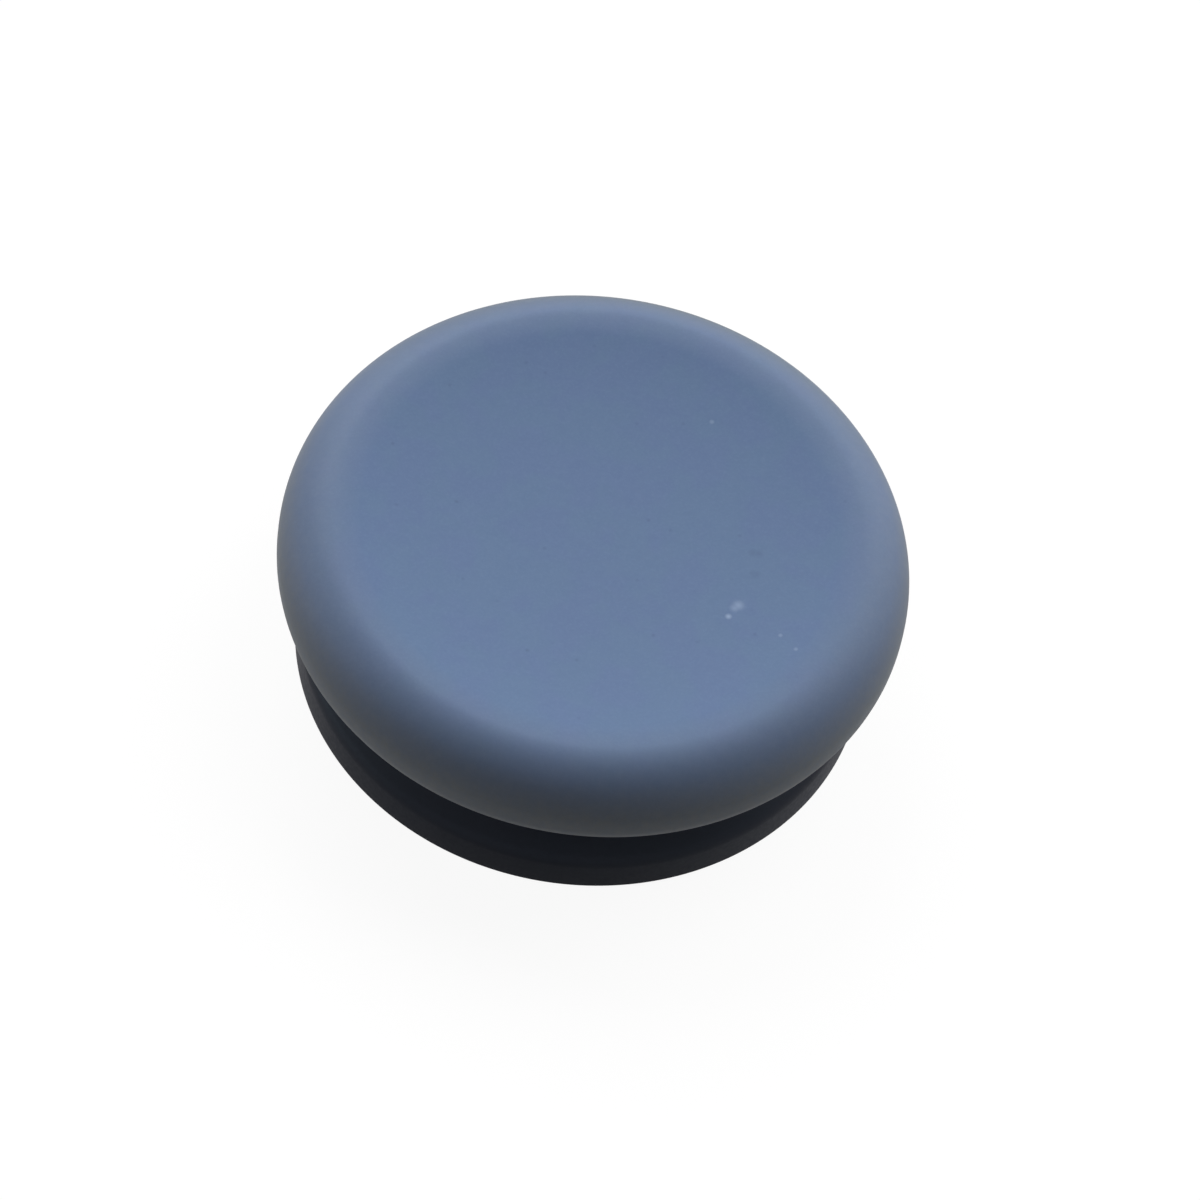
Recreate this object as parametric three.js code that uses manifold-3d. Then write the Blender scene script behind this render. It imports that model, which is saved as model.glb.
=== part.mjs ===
// Thumbstick cap for a handheld console's slide pad, in millimetres, +Z up.
// The origin is the centre of the resting face, under the skirt.
// Two mouldings: a blue-grey thumb disc with a shallow dish and a rolled rim, and a black base
// with a dust skirt, a neck, and a keyed socket that is pushed onto the slider's post.
import * as THREE from "three";
import { mergeVertices } from "three/addons/utils/BufferGeometryUtils.js";
import Module from "manifold-3d";

const wasm = await Module();
wasm.setup();

// Overall
const totalHeight = 5.9;
const discRadius = 8.8;

// Thumb disc: the dish that the thumb rests in, and the blend from its wall over to the crest
const dishWallSlope = THREE.MathUtils.degToRad(8);
const dishWallRise = 0.37;
const crestBlendRadius = 5;

// Thumb disc: the rolled rim, from the crest out and down to the widest line, and back underneath
const rimWidth = 1.5;
const rimDrop = 1.72;
const rimBandHeight = 0.18;
const rimUnderRadius = 0.88;
const rimShoulderFullness = 0.46; // share of rimWidth that the level direction at the crest carries
const rimSideFullness = 0.6; // share of rimDrop that the upright direction at the widest line carries

// The joint between the two mouldings
const skinThickness = 1.1; // under the middle of the dish
const neckClearance = 0.1;
const pegCount = 4;
const pegRadius = 0.75;
const pegClearance = 0.1;

// Base: the skirt, open underneath, and the shoulder that slopes from its top up to the neck
const skirtInset = 0.75; // how far the skirt's foot lies inside the disc's edge
const skirtHeight = 0.85; // up to where the wall starts to round over into the shoulder
const skirtDraft = THREE.MathUtils.degToRad(3);
const skirtWall = 1;
const skirtFootRound = 0.12;
const shoulderRound = 0.5;
const shoulderSlope = THREE.MathUtils.degToRad(35);
const shoulderThickness = 0.9; // measured upright

// Base: neck and deck
const neckInset = 1.5; // how far the neck lies inside the skirt's foot
const neckFillet = 0.3;
const neckWall = 0.9;
const deckThickness = 1.2;
const deckChamfer = 0.2;

// Base: the boss with its socket, and the ribs that hold the boss upright
const socketWidth = 3;
const socketBreadth = 2.2;
const socketDepth = 2.4;
const socketCornerRadius = 0.3;
const socketLeadIn = 0.25;
const bossWall = 1; // outside the socket's corners
const bossRecess = 0.35; // how far the boss ends above the resting face
const ribCount = 4;
const ribThickness = 0.7;
const ribRise = 0.05; // how far the ribs end above the inner end of the shoulder's underside

// Fineness of the curves
const turnSteps = 96;
const bossSteps = 48;
const pegSteps = 24;
const dishSteps = 8;
const crestSteps = 2;
const rimSteps = 12;
const underSteps = 6;
const shoulderSteps = 5;
const edgeSteps = 3;
const cornerSteps = 4;

// Colours and finish
const discFinish = { color: 0x6a7da0, roughness: 0.62, metalness: 0 };
const baseFinish = { color: 0x1c1f25, roughness: 0.45, metalness: 0 };

// Radii that follow from the sizes above
const crestRadius = discRadius - rimWidth;
const crestInnerRadius = crestRadius - crestBlendRadius * Math.sin(dishWallSlope);
const skirtRadius = discRadius - skirtInset;
const skirtTopRadius = skirtRadius - skirtHeight * Math.tan(skirtDraft);
const skirtInnerRadius = skirtRadius - skirtWall;
const neckRadius = skirtRadius - neckInset;
const recessRadius = neckRadius + neckClearance;
const cavityRadius = neckRadius - neckWall;
const bossRadius = Math.hypot(socketWidth, socketBreadth) / 2 + bossWall;
const pegCircleRadius = (bossRadius + cavityRadius) / 2;

// Levels that follow from the sizes above
const crestInnerZ = totalHeight - crestBlendRadius * (1 - Math.cos(dishWallSlope));
const dishFloorZ = crestInnerZ - dishWallRise;
const widestZ = totalHeight - rimDrop;
const bandFootZ = widestZ - rimBandHeight;
const discUnderZ = bandFootZ - rimUnderRadius;
const seatZ = dishFloorZ - skinThickness; // where the disc lies on the deck
const ceilingZ = seatZ - deckThickness;

// Heights of the shoulder's sloping face and of its underside, at a radius.
function shoulderZ(radius) {
  const inward = skirtTopRadius - shoulderRound - radius;
  const middleZ = skirtHeight + shoulderRound / Math.cos(shoulderSlope);
  return middleZ + inward * Math.tan(shoulderSlope);
}

const shoulderUnderZ = (radius) => shoulderZ(radius) - shoulderThickness;

// A closed mesh as a solid that can be cut and joined.
function solidOf(geometry) {
  const bare = geometry.clone();
  bare.deleteAttribute("normal");
  bare.deleteAttribute("uv");
  const merged = mergeVertices(bare, 1e-4);
  return new wasm.Manifold(
    new wasm.Mesh({
      numProp: 3,
      vertProperties: new Float32Array(merged.attributes.position.array),
      triVerts: new Uint32Array(merged.index.array),
    }),
  );
}

// A solid as a mesh with a name, a colour and a finish.
function meshOf(name, solid, finish) {
  const { vertProperties, triVerts } = solid.getMesh();
  const geometry = new THREE.BufferGeometry();
  geometry.setAttribute("position", new THREE.BufferAttribute(vertProperties, 3));
  geometry.setIndex(new THREE.BufferAttribute(triVerts, 1));
  geometry.computeVertexNormals();
  const mesh = new THREE.Mesh(geometry, new THREE.MeshStandardMaterial(finish));
  mesh.name = name;
  return mesh;
}

const point = (radius, z) => new THREE.Vector2(radius, z);

// A solid turned about +Z from an outline of radii and heights.
// The outline runs from the axis outwards over the top, and back to the axis underneath.
function turned(outline) {
  const lathe = new THREE.LatheGeometry([...outline].reverse(), turnSteps);
  return solidOf(lathe.rotateX(Math.PI / 2));
}

// A round bar along +Z between two levels.
function bar(radius, lowZ, highZ, steps, { x, y } = { x: 0, y: 0 }) {
  const cylinder = new THREE.CylinderGeometry(radius, radius, highZ - lowZ, steps);
  cylinder.rotateX(Math.PI / 2);
  return solidOf(cylinder.translate(x, y, (lowZ + highZ) / 2));
}

// Places round the axis, spaced evenly from a first angle.
function around(count, radius, firstAngle) {
  return Array.from({ length: count }, (_, i) => {
    const angle = firstAngle + (2 * Math.PI * i) / count;
    return { angle, x: radius * Math.cos(angle), y: radius * Math.sin(angle) };
  });
}

// A round corner of an outline: an arc about a centre, the short way from one angle to another.
function roundCorner(centre, radius, from, to, steps) {
  const clockwise = to < from;
  const arc = new THREE.EllipseCurve(centre.x, centre.y, radius, radius, from, to, clockwise);
  return arc.getPoints(steps);
}

// The thumb disc's outline: the dish, the crest, the rolled rim, and the recess for the neck.
function discOutline() {
  const dish = new THREE.QuadraticBezierCurve(
    point(0, dishFloorZ),
    point(crestInnerRadius - dishWallRise / Math.tan(dishWallSlope), dishFloorZ),
    point(crestInnerRadius, crestInnerZ),
  );
  const crest = roundCorner(
    point(crestRadius, totalHeight - crestBlendRadius),
    crestBlendRadius,
    Math.PI / 2 + dishWallSlope,
    Math.PI / 2,
    crestSteps,
  );
  const rim = new THREE.CubicBezierCurve(
    point(crestRadius, totalHeight),
    point(crestRadius + rimShoulderFullness * rimWidth, totalHeight),
    point(discRadius, widestZ + rimSideFullness * rimDrop),
    point(discRadius, widestZ),
  );
  const under = roundCorner(
    point(discRadius - rimUnderRadius, bandFootZ),
    rimUnderRadius,
    0,
    -Math.PI / 2,
    underSteps,
  );
  return [
    ...dish.getPoints(dishSteps),
    ...crest.slice(1),
    ...rim.getPoints(rimSteps).slice(1),
    ...under,
    point(recessRadius, discUnderZ),
    point(recessRadius, seatZ),
    point(0, seatZ),
  ];
}

// The base's outline: the deck, the neck, the shoulder, the skirt, and the cavity inside.
function baseOutline() {
  const steepness = Math.PI / 2 - shoulderSlope;
  const filletRadius = neckRadius + neckFillet;
  const neckFoot = roundCorner(
    point(filletRadius, shoulderZ(filletRadius) + neckFillet / Math.cos(shoulderSlope)),
    neckFillet,
    Math.PI,
    Math.PI + steepness,
    edgeSteps,
  );
  const shoulderEdge = roundCorner(
    point(skirtTopRadius - shoulderRound, skirtHeight),
    shoulderRound,
    steepness,
    0,
    shoulderSteps,
  );
  const skirtFoot = roundCorner(
    point(skirtRadius - skirtFootRound, skirtFootRound),
    skirtFootRound,
    0,
    -Math.PI / 2,
    edgeSteps,
  );
  return [
    point(0, seatZ),
    point(neckRadius - deckChamfer, seatZ),
    point(neckRadius, seatZ - deckChamfer),
    ...neckFoot,
    ...shoulderEdge,
    ...skirtFoot,
    point(skirtInnerRadius, 0),
    point(skirtInnerRadius, shoulderUnderZ(skirtInnerRadius)),
    point(cavityRadius, shoulderUnderZ(cavityRadius)),
    point(cavityRadius, ceilingZ),
    point(0, ceilingZ),
  ];
}

// The socket's section, a rectangle with round corners.
function socketSection() {
  const x = socketWidth / 2 - socketCornerRadius;
  const y = socketBreadth / 2 - socketCornerRadius;
  const section = new THREE.Shape();
  section.absarc(x, y, socketCornerRadius, 0, Math.PI / 2);
  section.absarc(-x, y, socketCornerRadius, Math.PI / 2, Math.PI);
  section.absarc(-x, -y, socketCornerRadius, Math.PI, 1.5 * Math.PI);
  section.absarc(x, -y, socketCornerRadius, 1.5 * Math.PI, 2 * Math.PI);
  return section;
}

// What is cut out of the boss: the socket, and a lead-in that widens towards its mouth.
function socketCut() {
  const section = socketSection();
  const startZ = bossRecess - socketLeadIn;
  const well = new THREE.ExtrudeGeometry(section, {
    depth: socketLeadIn + socketDepth,
    bevelEnabled: false,
    curveSegments: cornerSteps,
  });
  const leadIn = new THREE.ExtrudeGeometry(section, {
    depth: socketLeadIn,
    bevelThickness: socketLeadIn,
    bevelSize: socketLeadIn,
    bevelSegments: 1,
    curveSegments: cornerSteps,
  });
  return solidOf(well.translate(0, 0, startZ)).add(solidOf(leadIn.translate(0, 0, startZ)));
}

// The ribs stand in the cavity between the boss and the neck's wall, and run into both and the deck.
function ribs() {
  const innerEnd = bossRadius - bossWall / 2;
  const outerEnd = cavityRadius + neckWall / 2;
  const lowZ = shoulderUnderZ(cavityRadius) + ribRise;
  const topZ = ceilingZ + deckThickness / 2;
  return around(ribCount, (innerEnd + outerEnd) / 2, 0).map(({ angle, x, y }) => {
    const rib = new THREE.BoxGeometry(outerEnd - innerEnd, ribThickness, topZ - lowZ);
    return solidOf(rib.rotateZ(angle).translate(x, y, (topZ + lowZ) / 2));
  });
}

// The pegs and their holes lie midway between the boss and the neck's wall, and between the ribs.
const pegPlaces = around(pegCount, pegCircleRadius, Math.PI / pegCount);

// The blue-grey disc, with the pegs that key it to the base's deck.
function thumbDisc() {
  const rootZ = seatZ + skinThickness / 2;
  const pegs = pegPlaces.map((place) => bar(pegRadius, ceilingZ, rootZ, pegSteps, place));
  return pegs.reduce((solid, peg) => solid.add(peg), turned(discOutline()));
}

// The black base: deck, neck and skirt, with the boss and its ribs, the socket and the peg holes.
function socketBase() {
  const boss = bar(bossRadius, bossRecess, ceilingZ + deckThickness / 2, bossSteps);
  const whole = [boss, ...ribs()].reduce((solid, piece) => solid.add(piece), turned(baseOutline()));
  const holeRadius = pegRadius + pegClearance;
  const holes = pegPlaces.map((place) =>
    bar(holeRadius, ceilingZ - pegClearance, seatZ + pegClearance, pegSteps, place),
  );
  return [socketCut(), ...holes].reduce((solid, cut) => solid.subtract(cut), whole);
}

const cap = new THREE.Group();
cap.add(meshOf("thumb_disc", thumbDisc(), discFinish));
cap.add(meshOf("socket_base", socketBase(), baseFinish));

export default cap;
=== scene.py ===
import math

import bpy
from mathutils import Matrix, Vector


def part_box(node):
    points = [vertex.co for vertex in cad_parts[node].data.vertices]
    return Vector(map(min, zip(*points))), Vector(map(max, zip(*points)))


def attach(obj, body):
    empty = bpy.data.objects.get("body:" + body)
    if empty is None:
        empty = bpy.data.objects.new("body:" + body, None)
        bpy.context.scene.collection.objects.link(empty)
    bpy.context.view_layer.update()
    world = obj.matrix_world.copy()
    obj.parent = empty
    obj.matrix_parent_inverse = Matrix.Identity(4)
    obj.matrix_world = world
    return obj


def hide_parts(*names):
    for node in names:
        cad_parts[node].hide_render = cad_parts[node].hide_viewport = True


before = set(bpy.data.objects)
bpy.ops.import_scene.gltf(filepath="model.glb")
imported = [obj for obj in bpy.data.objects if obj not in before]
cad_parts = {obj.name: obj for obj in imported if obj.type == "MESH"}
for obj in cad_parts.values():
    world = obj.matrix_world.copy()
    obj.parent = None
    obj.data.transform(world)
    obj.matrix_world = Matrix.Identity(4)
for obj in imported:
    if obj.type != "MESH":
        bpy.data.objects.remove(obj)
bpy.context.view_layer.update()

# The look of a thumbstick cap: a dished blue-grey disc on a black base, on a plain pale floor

# Units: outlines and sizes are in millimetres, and become metres when a mesh is made
MM = 0.001

# Sizes that the frame gives
disc_low, disc_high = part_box("thumb_disc")
_, base_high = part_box("socket_base")
TOTAL_HEIGHT = disc_high.z / MM
DISC_RADIUS = disc_high.x / MM
SKIRT_RADIUS = base_high.x / MM
SEAT_Z = base_high.z / MM
CEILING_Z = disc_low.z / MM

# Thumb disc
RIM_WIDTH = 1.5
RIM_DROP = 1.72
RIM_BAND_HEIGHT = 0.18
RIM_UNDER_RADIUS = 0.88
RIM_SHOULDER_FULLNESS = 0.46
RIM_SIDE_FULLNESS = 0.6
CREST_BLEND_RADIUS = 5.0
DISH_WALL_SLOPE = math.radians(8)
DISH_WALL_RISE = 0.37
RECESS_EDGE_ROUND = 0.08

# Joint between the two mouldings
NECK_CLEARANCE = 0.1
PEG_COUNT = 4
PEG_RADIUS = 0.75
PEG_CLEARANCE = 0.1
PEG_ROOT = 0.5

# Base
SKIRT_HEIGHT = 0.85
SKIRT_DRAFT = math.radians(3)
SKIRT_WALL = 1.0
SKIRT_FOOT_ROUND = 0.12
SHOULDER_ROUND = 0.5
SHOULDER_SLOPE = math.radians(35)
SHOULDER_THICKNESS = 0.9
NECK_INSET = 1.5
NECK_FILLET = 0.3
NECK_WALL = 0.9
DECK_CHAMFER = 0.2
CAVITY_EDGE_ROUND = 0.1

# Socket, boss and ribs
SOCKET_WIDTH = 3.0
SOCKET_BREADTH = 2.2
SOCKET_DEPTH = 2.4
SOCKET_CORNER_RADIUS = 0.3
SOCKET_LEAD_IN = 0.25
BOSS_WALL = 1.0
BOSS_RECESS = 0.35
BOSS_EDGE_ROUND = 0.1
RIB_COUNT = 4
RIB_THICKNESS = 0.7
RIB_RISE = 0.05
RIB_EDGE_ROUND = 0.08
RUN_IN = 0.5  # how far the boss and the ribs reach into the deck that they are joined to

# Fineness of the meshes
TURN_STEPS = 256
BOSS_STEPS = 96
PEG_STEPS = 64
DISH_STEPS = 24
CREST_STEPS = 8
RIM_STEPS = 40
ROUND_STEPS = 12
EDGE_STEPS = 5
CORNER_STEPS = 8
SHARP_ANGLE = math.radians(32)

# Camera, as fitted to the outline in the photograph, whose frame is 1200 pixels square
PHOTO_SIZE = 1200
PHOTO_DISC_RADIUS = 317.3
PHOTO_DISC_CENTRE = (594.2, 561.2)
CAMERA_ELEVATION = math.radians(54.31)
CAMERA_ROLL = math.radians(10.03)
CAMERA_DISTANCE = 176.0
SENSOR_WIDTH = 36.0
CLIP_START_M = 0.01
CLIP_END_M = 10.0

# Surroundings: how bright they are for the camera, for mirrored rays and for diffuse light
FLOOR_WIDTH = 2000.0
FLOOR_LIT = 0.09
FLOOR_GLOW = 0.93
FLOOR_MIRRORED_LIT = 0.55
FLOOR_MIRRORED_GLOW = 0.34
FLOOR_DIFFUSE = 0.3
WORLD_SHOWN = 1.0
WORLD_DIFFUSE = 0.053

# Lamps: azimuth, elevation and spread in degrees, and strength
# At azimuth 0 a lamp is behind the camera, at 90 on the right and at 180 behind the cap
LAMPS = {
    "back_left": (210, 40, 40, 1.756),
    "back_right": (150, 28, 80, 2.039),
    "high_right": (135, 52, 40, 0.776),
    "low_left": (270, 8, 40, 0.641),
}

# Colours, as they show on a screen, from 0 to 255
DISC_BLUE = (84, 109, 143)
PATCH_BLUE = (84, 107, 144)
# Painted sheen: the rim is painted paler from the crest out to its edge
PAINTED_SHEEN_BLUE = (109, 122, 145)
# Painted sheen: the rim's side is painted greyer towards its foot
PAINTED_SIDE_SHEEN_GREY = (115, 120, 125)
# Painted highlight: the rim's lowest band and underside are painted a paler grey
PAINTED_LIP_HIGHLIGHT_GREY = (136, 138, 139)
MOTTLE_BLUE = (66, 92, 131)
GRAIN_BLUE = (124, 148, 184)
PIT_BLUE = (62, 82, 112)
# Painted reflection: the rim's far part, away from the camera, is painted a darker grey
PAINTED_FAR_RIM_REFLECTION_GREY = (84, 92, 98)
PALE_MARK_BLUE = (172, 192, 218)
DARK_MARK_BLUE = (60, 82, 112)
BASE_BLACK = (40, 39, 48)
BASE_PATCH_BLACK = (47, 45, 54)

# Plastics: gloss, the roughness of low and high grain, and the tint of the base's gloss
PLASTIC_IOR = 1.47
DISC_GLOSS = 0.3
DISC_ROUGHNESS = (0.5, 0.62)
BASE_GLOSS = 0.2
BASE_ROUGHNESS = (0.44, 0.56)
BASE_GLOSS_TINT = (0.5, 0.84, 1.0, 1.0)

# Noises: features to the millimetre, detail and roughness
DISC_PATCHES = (0.8, 2, 0.5)
DISC_MOTTLE = (3.5, 3, 0.6)
DISC_GRAIN = (11, 3, 0.65)
DISC_RIPPLE = (1.6, 2, 0.5)
BASE_PATCHES = (0.7, 2, 0.5)
BASE_GRAIN = (9, 3, 0.6)

# What the noises do: the part of their range that counts, and how strongly it tints
PATCH_RANGE = (0.42, 0.58)
MOTTLE_RANGE = (0.35, 0.7)
MOTTLE_STRENGTH = 0.14
GRAIN_TINT_RANGE = (0.45, 0.75)
GRAIN_TINT_STRENGTH = 0.1
GRAIN_ROUGHNESS_RANGE = (0.3, 0.7)

# Bumps: strength, and height in millimetres
DISC_GRAIN_BUMP = (0.35, 0.004)
DISC_RIPPLE_BUMP = (0.25, 0.02)
BASE_GRAIN_BUMP = (0.3, 0.004)

# Pits in the dish: how many to the millimetre, reach as a share of their spacing, and strength
PIT_SCALE = 1.5
PIT_REACH = 0.14
PIT_STRENGTH = 0.45

# Marks on the dish: place across, place up the dish, reach and strength
PALE_MARKS = (
    (3.88, -2.08, 0.13, 0.45),
    (4.02, -1.76, 0.2, 0.25),
    (4.1, -1.66, 0.24, 0.3),
    (5.36, -2.5, 0.09, 0.25),
    (5.83, -2.92, 0.09, 0.25),
    (2.56, 4.35, 0.1, 0.25),
)
DARK_MARKS = (
    (4.27, 0.18, 0.2, 0.3),
    (4.42, 0.19, 0.2, 0.3),
    (4.43, -0.53, 0.22, 0.25),
)

# Sockets of a Mix node that mixes colours
MIX_SHARE = 0
MIX_FIRST = 6
MIX_SECOND = 7
MIX_RESULT = 2

# Radii and levels that follow
CREST_RADIUS = DISC_RADIUS - RIM_WIDTH
CREST_INNER_RADIUS = CREST_RADIUS - CREST_BLEND_RADIUS * math.sin(DISH_WALL_SLOPE)
CREST_INNER_Z = TOTAL_HEIGHT - CREST_BLEND_RADIUS * (1 - math.cos(DISH_WALL_SLOPE))
DISH_FLOOR_Z = CREST_INNER_Z - DISH_WALL_RISE
WIDEST_Z = TOTAL_HEIGHT - RIM_DROP
BAND_FOOT_Z = WIDEST_Z - RIM_BAND_HEIGHT
DISC_UNDER_Z = BAND_FOOT_Z - RIM_UNDER_RADIUS
SKIRT_TOP_RADIUS = SKIRT_RADIUS - SKIRT_HEIGHT * math.tan(SKIRT_DRAFT)
SKIRT_INNER_RADIUS = SKIRT_RADIUS - SKIRT_WALL
NECK_RADIUS = SKIRT_RADIUS - NECK_INSET
RECESS_RADIUS = NECK_RADIUS + NECK_CLEARANCE
CAVITY_RADIUS = NECK_RADIUS - NECK_WALL
BOSS_RADIUS = math.hypot(SOCKET_WIDTH, SOCKET_BREADTH) / 2 + BOSS_WALL
PEG_CIRCLE_RADIUS = (BOSS_RADIUS + CAVITY_RADIUS) / 2

# Turns a shape that runs along +Z so that it runs along +X, out of the axis
UPRIGHT_TO_OUTWARD = Matrix(((0, 0, 1, 0), (1, 0, 0, 0), (0, 1, 0, 0), (0, 0, 0, 1)))

# Where the painted sheen turns the rim's side grey, and where the painted reflection turns the rim's far
# part a darker grey
SIDE_GREY_START_Z = WIDEST_Z + 1.3
SIDE_GREY_FULL_Z = WIDEST_Z + 0.3
FAR_RIM_START_RADIUS = CREST_RADIUS + 0.2
FAR_RIM_FULL_RADIUS = DISC_RADIUS - 0.5
FAR_RIM_START_Y = 3.0
FAR_RIM_FULL_Y = 8.5
FAR_RIM_STRENGTH = 0.9


def arc(centre, radius, start, end, steps):
    """Points of an arc, from one angle to another in degrees."""
    angles = [math.radians(start + (end - start) * i / steps) for i in range(steps + 1)]
    return [(centre[0] + radius * math.cos(a), centre[1] + radius * math.sin(a)) for a in angles]


def bezier(controls, steps):
    """Points of a Bezier curve with any number of control points."""
    degree = len(controls) - 1
    points = []
    for i in range(steps + 1):
        t = i / steps
        shares = [math.comb(degree, k) * t**k * (1 - t) ** (degree - k) for k in range(degree + 1)]
        points.append(tuple(sum(s * c[axis] for s, c in zip(shares, controls)) for axis in (0, 1)))
    return points


def disc_outline():
    """The dish, the crest, the rolled rim, and the recess for the neck."""
    floor_reach = CREST_INNER_RADIUS - DISH_WALL_RISE / math.tan(DISH_WALL_SLOPE)
    dish = bezier(
        [(0, DISH_FLOOR_Z), (floor_reach, DISH_FLOOR_Z), (CREST_INNER_RADIUS, CREST_INNER_Z)],
        DISH_STEPS,
    )
    blend_centre = (CREST_RADIUS, TOTAL_HEIGHT - CREST_BLEND_RADIUS)
    crest = arc(blend_centre, CREST_BLEND_RADIUS, 90 + math.degrees(DISH_WALL_SLOPE), 90, CREST_STEPS)
    rim = bezier(
        [
            (CREST_RADIUS, TOTAL_HEIGHT),
            (CREST_RADIUS + RIM_SHOULDER_FULLNESS * RIM_WIDTH, TOTAL_HEIGHT),
            (DISC_RADIUS, WIDEST_Z + RIM_SIDE_FULLNESS * RIM_DROP),
            (DISC_RADIUS, WIDEST_Z),
        ],
        RIM_STEPS,
    )
    under = arc((DISC_RADIUS - RIM_UNDER_RADIUS, BAND_FOOT_Z), RIM_UNDER_RADIUS, 0, -90, ROUND_STEPS)
    mouth = inner_edge(RECESS_RADIUS, DISC_UNDER_Z, RECESS_EDGE_ROUND)
    ceiling = [(RECESS_RADIUS, SEAT_Z), (0, SEAT_Z)]
    return dish + crest[1:] + rim[1:] + under + mouth + ceiling


def inner_edge(radius, z, edge_round):
    """The small round where a hollow's wall starts from a level face."""
    return arc((radius + edge_round, z + edge_round), edge_round, 270, 180, EDGE_STEPS)


def shoulder_z(radius):
    """Height of the shoulder's sloping face at a radius."""
    inward = SKIRT_TOP_RADIUS - SHOULDER_ROUND - radius
    return SKIRT_HEIGHT + SHOULDER_ROUND / math.cos(SHOULDER_SLOPE) + inward * math.tan(SHOULDER_SLOPE)


def shoulder_under_z(radius):
    """Height of the shoulder's underside at a radius."""
    return shoulder_z(radius) - SHOULDER_THICKNESS


def base_outline():
    """The deck, the neck, the shoulder, the skirt, and the cavity inside."""
    steepness = 90 - math.degrees(SHOULDER_SLOPE)
    deck = [(0, SEAT_Z), (NECK_RADIUS - DECK_CHAMFER, SEAT_Z), (NECK_RADIUS, SEAT_Z - DECK_CHAMFER)]
    fillet_radius = NECK_RADIUS + NECK_FILLET
    fillet_z = shoulder_z(fillet_radius) + NECK_FILLET / math.cos(SHOULDER_SLOPE)
    neck_foot = arc((fillet_radius, fillet_z), NECK_FILLET, 180, 180 + steepness, ROUND_STEPS)
    edge_centre = (SKIRT_TOP_RADIUS - SHOULDER_ROUND, SKIRT_HEIGHT)
    shoulder_edge = arc(edge_centre, SHOULDER_ROUND, steepness, 0, ROUND_STEPS)
    foot_centre = (SKIRT_RADIUS - SKIRT_FOOT_ROUND, SKIRT_FOOT_ROUND)
    skirt_foot = arc(foot_centre, SKIRT_FOOT_ROUND, 0, -90, EDGE_STEPS)
    mouth = inner_edge(SKIRT_INNER_RADIUS, 0, CAVITY_EDGE_ROUND)
    under = [(radius, shoulder_under_z(radius)) for radius in (SKIRT_INNER_RADIUS, CAVITY_RADIUS)]
    ceiling = [(CAVITY_RADIUS, CEILING_Z), (0, CEILING_Z)]
    return deck + neck_foot + shoulder_edge + skirt_foot + mouth + under + ceiling


def boss_outline():
    """A bar with a rounded lower edge, from inside the deck down to the boss's end."""
    top = CEILING_Z + RUN_IN
    edge_centre = (BOSS_RADIUS - BOSS_EDGE_ROUND, BOSS_RECESS + BOSS_EDGE_ROUND)
    edge = arc(edge_centre, BOSS_EDGE_ROUND, 0, -90, EDGE_STEPS)
    return [(0, top), (BOSS_RADIUS, top)] + edge + [(0, BOSS_RECESS)]


def bar_outline(radius, low, high):
    """A plain round bar between two levels."""
    return [(0, high), (radius, high), (radius, low), (0, low)]


def new_piece(name, verts, faces):
    """A mesh object from points in millimetres."""
    mesh = bpy.data.meshes.new(name)
    mesh.from_pydata([Vector(v) * MM for v in verts], [], faces)
    mesh.validate()
    piece = bpy.data.objects.new(name, mesh)
    bpy.context.scene.collection.objects.link(piece)
    return piece


def turned(name, outline, steps=TURN_STEPS, place=(0, 0)):
    """A solid turned about +Z. The outline runs from the axis over the top and back to the axis."""
    verts = []
    rings = []
    for radius, z in outline:
        first = len(verts)
        if radius == 0:
            verts.append((place[0], place[1], z))
            rings.append([first] * steps)
            continue
        for i in range(steps):
            angle = 2 * math.pi * i / steps
            verts.append((place[0] + radius * math.cos(angle), place[1] + radius * math.sin(angle), z))
        rings.append(list(range(first, first + steps)))
    faces = []
    for inner, outer in zip(rings, rings[1:]):
        for i in range(steps):
            j = (i + 1) % steps
            corners = [inner[i], outer[i], outer[j], inner[j]]
            faces.append(list(dict.fromkeys(corners)))
    return new_piece(name, verts, faces)


def lofted(name, sections):
    """A closed solid through level sections that have the same number of points."""
    verts = [(x, y, z) for section, z in sections for x, y in section]
    count = len(sections[0][0])
    faces = [list(range(count))[::-1], [len(verts) - count + i for i in range(count)]]
    for level in range(len(sections) - 1):
        for i in range(count):
            j = (i + 1) % count
            low, high = level * count, (level + 1) * count
            faces.append([low + i, low + j, high + j, high + i])
    return new_piece(name, verts, faces)


def socket_section(growth):
    """The socket's rectangle with round corners, larger all round by a growth."""
    x = SOCKET_WIDTH / 2 - SOCKET_CORNER_RADIUS
    y = SOCKET_BREADTH / 2 - SOCKET_CORNER_RADIUS
    corners = [(x, y, 0), (-x, y, 90), (-x, -y, 180), (x, -y, 270)]
    section = []
    for cx, cy, start in corners:
        section += arc((cx, cy), SOCKET_CORNER_RADIUS + growth, start, start + 90, CORNER_STEPS)
    return section


def socket_tool():
    """What is cut out of the boss: the socket and its lead-in."""
    wide = socket_section(SOCKET_LEAD_IN)
    close = socket_section(0)
    return lofted(
        "socket_tool",
        [
            (wide, BOSS_RECESS - SOCKET_LEAD_IN),
            (wide, BOSS_RECESS),
            (close, BOSS_RECESS + SOCKET_LEAD_IN),
            (close, BOSS_RECESS + SOCKET_DEPTH),
        ],
    )


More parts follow.
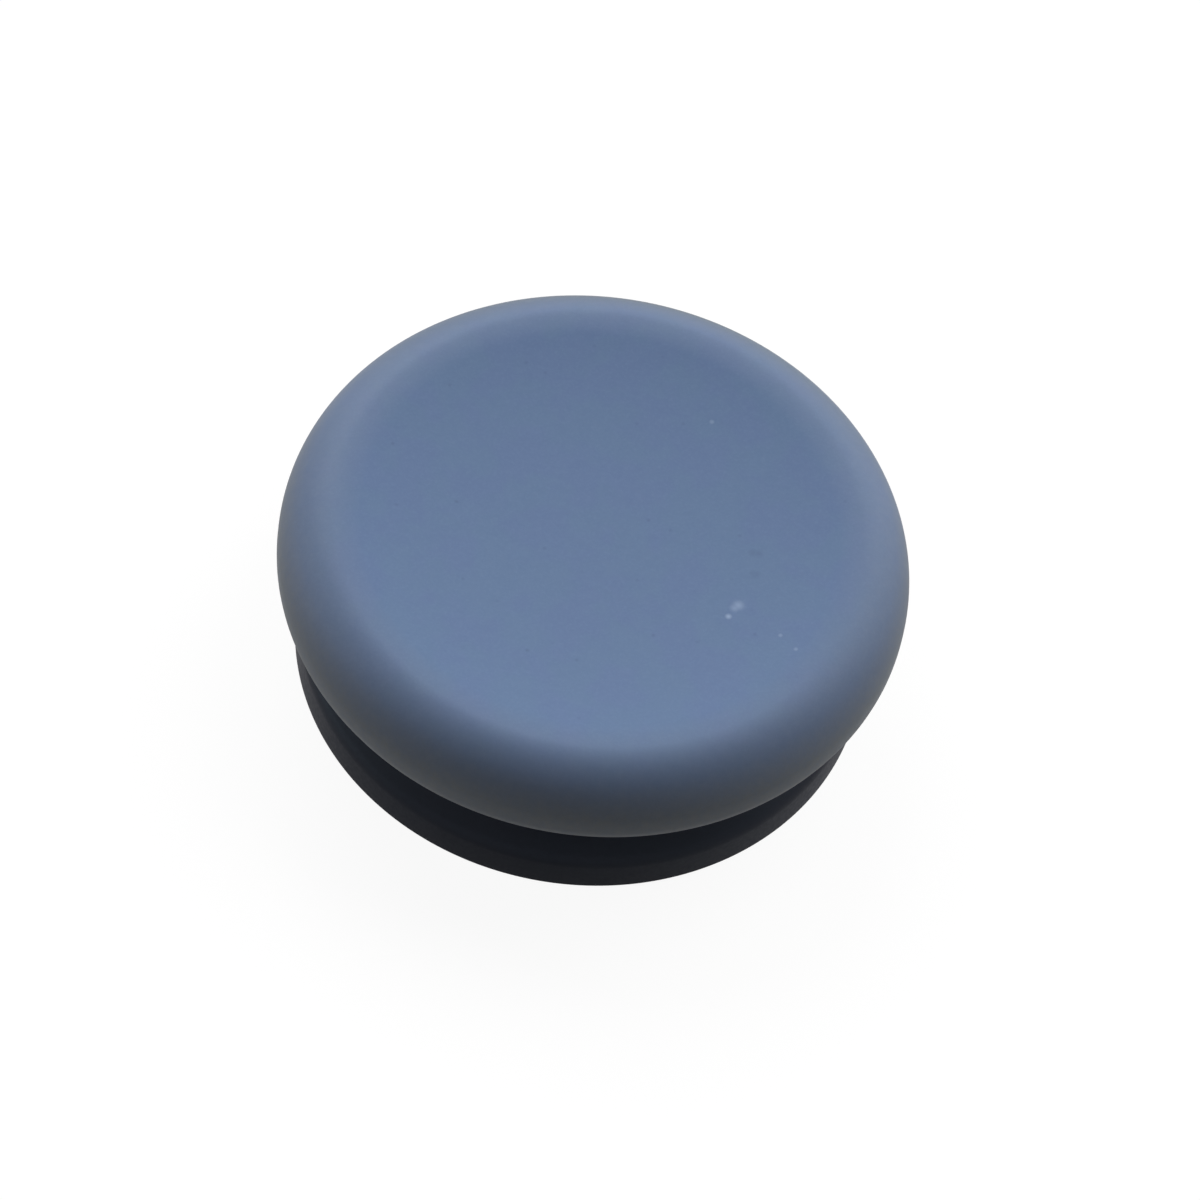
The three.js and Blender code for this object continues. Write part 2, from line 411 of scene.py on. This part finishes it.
def rib_tool(angle):
    """One rib between the boss and the neck's wall, with rounded lower edges."""
    inner = BOSS_RADIUS - BOSS_WALL / 2
    outer = CAVITY_RADIUS + NECK_WALL / 2
    half = RIB_THICKNESS / 2
    top = CEILING_Z + RUN_IN
    edge_z = shoulder_under_z(CAVITY_RADIUS) + RIB_RISE + RIB_EDGE_ROUND
    left = arc((-half + RIB_EDGE_ROUND, edge_z), RIB_EDGE_ROUND, 180, 270, EDGE_STEPS)
    right = arc((half - RIB_EDGE_ROUND, edge_z), RIB_EDGE_ROUND, 270, 360, EDGE_STEPS)
    profile = left + right + [(half, top), (-half, top)]
    rib = lofted("rib_tool", [(profile, inner), (profile, outer)])
    rib.data.transform(Matrix.Rotation(angle, 4, "Z") @ UPRIGHT_TO_OUTWARD)
    return rib


def angles_around(count, first_angle=0):
    """Angles spaced evenly round the axis."""
    return [first_angle + 2 * math.pi * i / count for i in range(count)]


def peg_tools(name, radius, low, high):
    """Round bars at the pegs' places."""
    outline = bar_outline(radius, low, high)
    bars = []
    for angle in angles_around(PEG_COUNT, math.pi / PEG_COUNT):
        place = (PEG_CIRCLE_RADIUS * math.cos(angle), PEG_CIRCLE_RADIUS * math.sin(angle))
        bars.append(turned(name, outline, PEG_STEPS, place))
    return bars


def combine(piece, tools, operation):
    """Joins the tools to a piece or cuts them out of it, and removes them."""
    for tool in tools:
        modifier = piece.modifiers.new(tool.name, "BOOLEAN")
        modifier.operation = operation
        modifier.solver = "EXACT"
        modifier.object = tool
    depsgraph = bpy.context.evaluated_depsgraph_get()
    whole = bpy.data.meshes.new_from_object(piece.evaluated_get(depsgraph))
    piece.modifiers.clear()
    piece.data = whole
    for tool in tools:
        bpy.data.objects.remove(tool)


def smooth(piece):
    """Smooth shading, with the real corners kept sharp."""
    mesh = piece.data
    mesh.shade_smooth()
    mesh.set_sharp_from_angle(angle=SHARP_ANGLE)


def make_disc():
    """The dished disc with its rolled rim, and the pegs underneath."""
    disc = turned("dished_thumb_disc", disc_outline())
    combine(disc, peg_tools("peg_tool", PEG_RADIUS, CEILING_Z, SEAT_Z + PEG_ROOT), "UNION")
    smooth(disc)
    return disc


def make_base():
    """The skirted base with its neck, boss, ribs and socket, and the holes for the pegs."""
    base = turned("skirted_socket_base", base_outline())
    boss = turned("boss_tool", boss_outline(), BOSS_STEPS)
    ribs = [rib_tool(angle) for angle in angles_around(RIB_COUNT)]
    combine(base, [boss] + ribs, "UNION")
    hole_radius = PEG_RADIUS + PEG_CLEARANCE
    holes = peg_tools("hole_tool", hole_radius, CEILING_Z - PEG_CLEARANCE, SEAT_Z + PEG_CLEARANCE)
    combine(base, [socket_tool()] + holes, "DIFFERENCE")
    smooth(base)
    return base


def srgb(red, green, blue):
    """A colour given as it shows on a screen, from 0 to 255, in the linear values that shaders take."""
    def linear(value):
        share = value / 255
        return share / 12.92 if share <= 0.04045 else ((share + 0.055) / 1.055) ** 2.4
    return (linear(red), linear(green), linear(blue), 1.0)


def grey(value):
    """A grey in the linear values that shaders take."""
    return (value, value, value, 1.0)


class Nodes:
    """A material's or world's node tree, and short calls to fill it."""

    def __init__(self, tree):
        self.tree = tree
        self.tree.nodes.clear()

    def add(self, kind, settings=None, **inputs):
        """Adds a node. Inputs are numbers, colours, or the sockets that feed them."""
        node = self.tree.nodes.new("ShaderNode" + kind)
        for key, value in (settings or {}).items():
            setattr(node, key, value)
        for key, value in inputs.items():
            self.feed(node.inputs[key.replace("_", " ")], value)
        return node

    def feed(self, socket, value):
        """Sets a socket's value, or links another socket to it."""
        if isinstance(value, bpy.types.NodeSocket):
            self.tree.links.new(value, socket)
        else:
            socket.default_value = value

    def finish(self, kind, surface):
        """Adds the tree's output and links a shader to it."""
        self.feed(self.add(kind).inputs["Surface"], surface)

    def math(self, operation, first, second=0.0):
        """A Math node's result."""
        node = self.add("Math", {"operation": operation})
        self.feed(node.inputs[0], first)
        self.feed(node.inputs[1], second)
        return node.outputs[0]

    def spread(self, value, low, high, to_low, to_high, blend="LINEAR"):
        """A value's range moved onto another range, held at its ends."""
        ends = {"From_Min": low, "From_Max": high, "To_Min": to_low, "To_Max": to_high}
        return self.add("MapRange", {"interpolation_type": blend}, Value=value, **ends).outputs["Result"]

    def mix(self, share, first, second):
        """A mix of two colours."""
        node = self.add("Mix", {"data_type": "RGBA"})
        self.feed(node.inputs[MIX_SHARE], share)
        self.feed(node.inputs[MIX_FIRST], first)
        self.feed(node.inputs[MIX_SECOND], second)
        return node.outputs[MIX_RESULT]

    def millimetres(self):
        """Places on the piece, in millimetres."""
        scaled = self.add("VectorMath", {"operation": "SCALE"}, Scale=1 / MM)
        self.feed(scaled.inputs[0], self.add("TexCoord").outputs["Object"])
        return scaled.outputs[0]

    def from_axis(self, place):
        """Distance from the cap's axis, in millimetres."""
        parts = self.add("SeparateXYZ", Vector=place).outputs
        squares = [self.math("MULTIPLY", parts[axis], parts[axis]) for axis in ("X", "Y")]
        return self.math("SQRT", self.math("ADD", *squares))

    def flat(self, place):
        """A place with its height left out."""
        parts = self.add("SeparateXYZ", Vector=place).outputs
        return self.add("CombineXYZ", X=parts["X"], Y=parts["Y"]).outputs[0]

    def spot(self, away, reach):
        """1 at a distance of 0, falling smoothly to 0 at a reach."""
        return self.spread(away, 0, reach, 1, 0, "SMOOTHSTEP")

    def noise(self, place, scale, detail, roughness):
        """Noise with so many features to the millimetre."""
        node = self.add("TexNoise", Vector=place, Scale=scale, Detail=detail, Roughness=roughness)
        return node.outputs["Fac"]

    def pits(self, place, scale, reach, strength):
        """Small round spots, so many to the millimetre, each of its own strength."""
        node = self.add("TexVoronoi", Vector=place, Scale=scale)
        own = self.add("SeparateColor", Color=node.outputs["Color"]).outputs[0]
        spot = self.spot(node.outputs["Distance"], reach)
        return self.math("MULTIPLY", spot, self.math("MULTIPLY", own, strength))

    def bump(self, height, strength, distance):
        """A Bump node, whose distance is in millimetres."""
        return self.add("Bump", Strength=strength, Distance=distance * MM, Height=height)


def new_material(name):
    """An empty material and its nodes."""
    material = bpy.data.materials.new(name)
    material.use_nodes = True
    return material, Nodes(material.node_tree)


def strongest(nodes, shares):
    """The highest of several values at each place."""
    first, *others = shares
    for other in others:
        first = nodes.math("MAXIMUM", first, other)
    return first


def marked(nodes, place, marks):
    """How strongly a place is marked by the strongest of several small round marks."""
    spots = []
    for x, y, reach, strength in marks:
        away = nodes.add("VectorMath", {"operation": "DISTANCE"})
        nodes.feed(away.inputs[0], nodes.flat(place))
        nodes.feed(away.inputs[1], (x, y, 0))
        spots.append(nodes.math("MULTIPLY", nodes.spot(away.outputs["Value"], reach), strength))
    return strongest(nodes, spots)


def pitted(nodes, place, radius):
    """How strongly the dish is pitted. The rim has no pits."""
    on_dish = nodes.spread(radius, CREST_INNER_RADIUS, CREST_RADIUS, 1, 0)
    pits = nodes.pits(nodes.flat(place), PIT_SCALE, PIT_REACH, PIT_STRENGTH)
    return nodes.math("MULTIPLY", on_dish, pits)


def painted_far_rim_reflection(nodes, radius, depth):
    """How far a place belongs to the rim's far part, where a painted reflection darkens it."""
    on_rim = nodes.spread(radius, FAR_RIM_START_RADIUS, FAR_RIM_FULL_RADIUS, 0, 1)
    far = nodes.spread(depth, FAR_RIM_START_Y, FAR_RIM_FULL_Y, 0, FAR_RIM_STRENGTH)
    return nodes.math("MULTIPLY", on_rim, far)


def disc_colour(nodes, place, grain):
    """Blue-grey, speckled, pitted and marked, with painted sheen paler on the rim and greyer down its
    side, a painted lip highlight and a painted far-rim reflection.
    """
    radius = nodes.from_axis(place)
    parts = nodes.add("SeparateXYZ", Vector=place).outputs
    patches = nodes.noise(place, *DISC_PATCHES)
    mottle = nodes.noise(place, *DISC_MOTTLE)
    tints = (
        (nodes.spread(patches, *PATCH_RANGE, 0, 1), PATCH_BLUE),
        # Painted sheen: paler from the crest out to the rim's edge
        (nodes.spread(radius, CREST_INNER_RADIUS, DISC_RADIUS, 0, 1), PAINTED_SHEEN_BLUE),
        # Painted sheen: greyer down the rim's side
        (nodes.spread(parts["Z"], SIDE_GREY_START_Z, SIDE_GREY_FULL_Z, 0, 1), PAINTED_SIDE_SHEEN_GREY),
        # Painted highlight: paler grey on the rim's lowest band and underside
        (nodes.spread(parts["Z"], SIDE_GREY_FULL_Z, DISC_UNDER_Z, 0, 1), PAINTED_LIP_HIGHLIGHT_GREY),
        (nodes.spread(mottle, *MOTTLE_RANGE, MOTTLE_STRENGTH, 0), MOTTLE_BLUE),
        (nodes.spread(grain, *GRAIN_TINT_RANGE, 0, GRAIN_TINT_STRENGTH), GRAIN_BLUE),
        (pitted(nodes, place, radius), PIT_BLUE),
        # Painted reflection: darker grey on the rim's far part
        (painted_far_rim_reflection(nodes, radius, parts["Y"]), PAINTED_FAR_RIM_REFLECTION_GREY),
        (marked(nodes, place, PALE_MARKS), PALE_MARK_BLUE),
        (marked(nodes, place, DARK_MARKS), DARK_MARK_BLUE),
    )
    colour = srgb(*DISC_BLUE)
    for share, tint in tints:
        colour = nodes.mix(share, colour, srgb(*tint))
    return colour


def plastic(nodes, colour, grain, roughness, gloss, bump):
    """Moulded plastic, rougher where its grain is high."""
    shader = nodes.add("BsdfPrincipled", Base_Color=colour, IOR=PLASTIC_IOR, Normal=bump.outputs[0])
    nodes.feed(shader.inputs["Roughness"], nodes.spread(grain, *GRAIN_ROUGHNESS_RANGE, *roughness))
    shader.inputs["Specular IOR Level"].default_value = gloss
    nodes.finish("OutputMaterial", shader.outputs[0])
    return shader


def soft_touch():
    """Blue-grey moulded plastic with a fine grain, and painted sheen, highlight and reflection on the
    crest and the rim.
    """
    material, nodes = new_material("soft_touch_blue_grey")
    place = nodes.millimetres()
    grain = nodes.noise(place, *DISC_GRAIN)
    ripple = nodes.noise(place, *DISC_RIPPLE)
    bump = nodes.bump(ripple, *DISC_RIPPLE_BUMP)
    nodes.feed(bump.inputs["Normal"], nodes.bump(grain, *DISC_GRAIN_BUMP).outputs[0])
    plastic(nodes, disc_colour(nodes, place, grain), grain, DISC_ROUGHNESS, DISC_GLOSS, bump)
    return material


def satin_black():
    """Black moulded plastic, smoother than the disc, with a cool tint in its gloss."""
    material, nodes = new_material("satin_black")
    place = nodes.millimetres()
    grain = nodes.noise(place, *BASE_GRAIN)
    colour = nodes.mix(nodes.noise(place, *BASE_PATCHES), srgb(*BASE_BLACK), srgb(*BASE_PATCH_BLACK))
    bump = nodes.bump(grain, *BASE_GRAIN_BUMP)
    shader = plastic(nodes, colour, grain, BASE_ROUGHNESS, BASE_GLOSS, bump)
    shader.inputs["Specular Tint"].default_value = BASE_GLOSS_TINT
    return material


def by_ray(nodes, shown, mirrored, diffuse):
    """One shader for what is seen directly or through glass, one for mirrored rays, one for the rest."""
    rays = nodes.add("LightPath").outputs
    clear = nodes.math("MAXIMUM", rays["Is Camera Ray"], rays["Is Transmission Ray"])
    unseen = nodes.add("MixShader", Fac=rays["Is Glossy Ray"])
    nodes.feed(unseen.inputs[1], diffuse.outputs[0])
    nodes.feed(unseen.inputs[2], mirrored.outputs[0])
    every = nodes.add("MixShader", Fac=clear)
    nodes.feed(every.inputs[1], unseen.outputs[0])
    nodes.feed(every.inputs[2], shown.outputs[0])
    return every.outputs[0]


def lit_and_glowing(nodes, lit, glow):
    """A plain surface that takes shadows and is paler than the lamps make it."""
    surface = nodes.add("AddShader")
    nodes.feed(surface.inputs[0], nodes.add("BsdfDiffuse", Color=grey(lit)).outputs[0])
    nodes.feed(surface.inputs[1], nodes.add("Emission", Strength=glow).outputs[0])
    return surface


def make_floor():
    """A wide plain floor. It shows white, keeps the shadow, and is a little darker in mirrored rays."""
    half = FLOOR_WIDTH / 2
    corners = [(-half, -half, 0), (half, -half, 0), (half, half, 0), (-half, half, 0)]
    floor = new_piece("floor", corners, [(0, 1, 2, 3)])
    material, nodes = new_material("plain_pale")
    shown = lit_and_glowing(nodes, FLOOR_LIT, FLOOR_GLOW)
    mirrored = lit_and_glowing(nodes, FLOOR_MIRRORED_LIT, FLOOR_MIRRORED_GLOW)
    diffuse = nodes.add("BsdfDiffuse", Color=grey(FLOOR_DIFFUSE))
    nodes.finish("OutputMaterial", by_ray(nodes, shown, mirrored, diffuse))
    floor.data.materials.append(material)


def make_world():
    """White where it is seen or mirrored, and a low even light otherwise."""
    world = bpy.data.worlds.new("studio")
    bpy.context.scene.world = world
    world.use_nodes = True
    nodes = Nodes(world.node_tree)
    shown = nodes.add("Background", Color=grey(1.0), Strength=WORLD_SHOWN)
    diffuse = nodes.add("Background", Color=grey(1.0), Strength=WORLD_DIFFUSE)
    nodes.finish("OutputWorld", by_ray(nodes, shown, shown, diffuse))


def make_sun(name, azimuth, elevation, spread, strength):
    """A soft white lamp far away."""
    light = bpy.data.lights.new(name, "SUN")
    light.angle = math.radians(spread)
    light.energy = strength
    lamp = bpy.data.objects.new(name, light)
    turn = math.radians(azimuth)
    rise = math.radians(elevation)
    towards = Vector((math.sin(turn) * math.cos(rise), -math.cos(turn) * math.cos(rise), math.sin(rise)))
    lamp.rotation_euler = towards.to_track_quat("Z", "Y").to_euler()
    bpy.context.scene.collection.objects.link(lamp)


def make_camera():
    """The photograph's view: a long lens, above and in front, rolled a little."""
    focal_pixels = PHOTO_DISC_RADIUS * CAMERA_DISTANCE / DISC_RADIUS
    data = bpy.data.cameras.new("camera")
    data.sensor_width = SENSOR_WIDTH
    data.lens = focal_pixels / PHOTO_SIZE * SENSOR_WIDTH
    data.clip_start = CLIP_START_M
    data.clip_end = CLIP_END_M
    camera = bpy.data.objects.new("camera", data)
    bpy.context.scene.collection.objects.link(camera)
    bpy.context.scene.camera = camera
    # The view straight at the disc's centre
    centre = Vector((0, 0, WIDEST_Z)) * MM
    back = Vector((0, -math.cos(CAMERA_ELEVATION), math.sin(CAMERA_ELEVATION)))
    level_right = Vector((1, 0, 0))
    level_up = back.cross(level_right)
    right = math.cos(CAMERA_ROLL) * level_right + math.sin(CAMERA_ROLL) * level_up
    up = back.cross(right)
    place = centre + back * CAMERA_DISTANCE * MM
    # The camera is then turned until the disc's centre lies where the photograph has it
    pixel = CAMERA_DISTANCE * MM / focal_pixels
    middle = PHOTO_SIZE / 2
    aim = centre + right * (middle - PHOTO_DISC_CENTRE[0]) * pixel
    aim -= up * (middle - PHOTO_DISC_CENTRE[1]) * pixel
    back = (place - aim).normalized()
    right = up.cross(back).normalized()
    up = back.cross(right)
    turn = Matrix((right, up, back)).transposed().to_4x4()
    camera.matrix_world = Matrix.Translation(place) @ turn


def dress(piece, material, node):
    """Gives a piece its material, its place in the frame and the node it stands for."""
    piece.data.materials.clear()
    piece.data.materials.append(material)
    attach(piece, "root")
    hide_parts(node)


make_camera()
make_world()
make_floor()
for lamp_name, lamp in LAMPS.items():
    make_sun(lamp_name, *lamp)
dress(make_disc(), soft_touch(), "thumb_disc")
dress(make_base(), satin_black(), "socket_base")

bpy.context.scene.view_settings.view_transform = "Standard"
